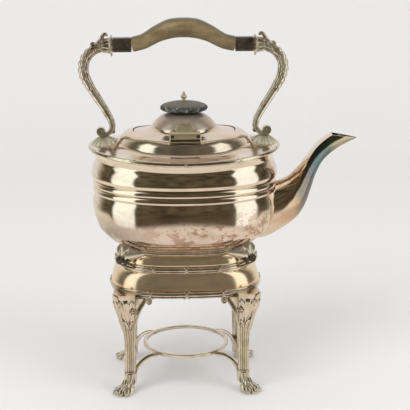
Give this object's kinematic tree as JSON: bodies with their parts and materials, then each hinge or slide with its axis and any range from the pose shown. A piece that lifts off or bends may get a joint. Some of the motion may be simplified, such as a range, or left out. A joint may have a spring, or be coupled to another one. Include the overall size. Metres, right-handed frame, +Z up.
{
  "type": "spirit kettle on stand",
  "caption": "Oval silver-plated tilting spirit kettle with a hinged lid, fixed arched handle and duck-bill spout, on a four-legged paw-footed stand with a burner ring",
  "frame": {"origin": "on the table, below the centre of the stand's burner ring", "axes": "+X along the spout, +Z up, -Y is the side with the lid's hinge"},
  "size_m": [0.2612, 0.1394, 0.3524],
  "materials": {
    "silver_plate": "polished silver plate with a warm tarnish",
    "cast_plate": "cast and plated, with dull pale-green tarnish in the hollows",
    "grip": "worn tan grip, mottled, darker along the top",
    "insulator": "near-black polished insulator",
    "finial_disc": "weathered dark grey, crackled round the edge",
    "iron_nut": "dull nut inside the lid"
  },
  "bodies": {
    "stand": {"stand_border": "cast_plate", "stand_apron": "silver_plate", "stand_reed_ring": "cast_plate", "stand_collar": "silver_plate", "burner_ring": "cast_plate", "leg_front_left": "cast_plate", "leg_front_right": "cast_plate", "leg_back_left": "cast_plate", "leg_back_right": "cast_plate", "paw_front_left": "cast_plate", "paw_front_right": "cast_plate", "paw_back_left": "cast_plate", "paw_back_right": "cast_plate", "strut_front_left": "cast_plate", "strut_front_right": "cast_plate", "strut_back_left": "cast_plate", "strut_back_right": "cast_plate", "stand_hook_front_left": "cast_plate", "stand_hook_front_right": "cast_plate", "stand_hook_back_left": "cast_plate", "stand_hook_back_right": "cast_plate"},
    "tilt_pins": {"tilt_pin_front_right": "cast_plate", "tilt_pin_back_right": "cast_plate"},
    "kettle": {"kettle_bowl": "silver_plate", "girdle_reed_lower": "silver_plate", "girdle_reed_upper": "silver_plate", "kettle_upper_wall": "silver_plate", "rim_border": "silver_plate", "kettle_shoulder": "silver_plate", "kettle_foot": "silver_plate", "lid_seat": "silver_plate", "spout": "silver_plate", "hinge_body_leaf": "silver_plate", "hinge_pin": "silver_plate", "kettle_lug_front_left": "cast_plate", "kettle_lug_front_right": "cast_plate", "kettle_lug_back_left": "cast_plate", "kettle_lug_back_right": "cast_plate", "trunnion_front_left": "cast_plate", "trunnion_back_left": "cast_plate", "handle_arm_left": "silver_plate", "handle_arm_right": "silver_plate", "handle_flange_left": "silver_plate", "handle_flange_right": "silver_plate", "handle_insulator_left": "insulator", "handle_insulator_right": "insulator", "handle_pin_left": "silver_plate", "handle_pin_right": "silver_plate", "handle_shell_left": "silver_plate", "handle_shell_right": "silver_plate", "handle_grip": "grip"},
    "lid": {"lid_shell": "silver_plate", "lid_bezel": "silver_plate", "lid_hinge_leaf": "silver_plate", "finial_washer": "silver_plate", "finial_disc": "finial_disc", "finial_urn": "silver_plate", "finial_nut": "iron_nut"}
  },
  "joints": [
    {"name": "kettle_lift", "type": "slide", "parent": "stand", "child": "tilt_pins", "axis": [0, 0, 1], "range_m": [0, 0.06]},
    {"name": "kettle_tilt", "type": "hinge", "parent": "tilt_pins", "child": "kettle", "pos_m": [0.062, 0, 0.1324], "axis": [0, 1, 0], "range_deg": [0, 55]},
    {"name": "lid_hinge", "type": "hinge", "parent": "kettle", "child": "lid", "pos_m": [0, -0.0434, 0.249], "axis": [1, 0, 0], "range_deg": [0, 105]}
  ]
}
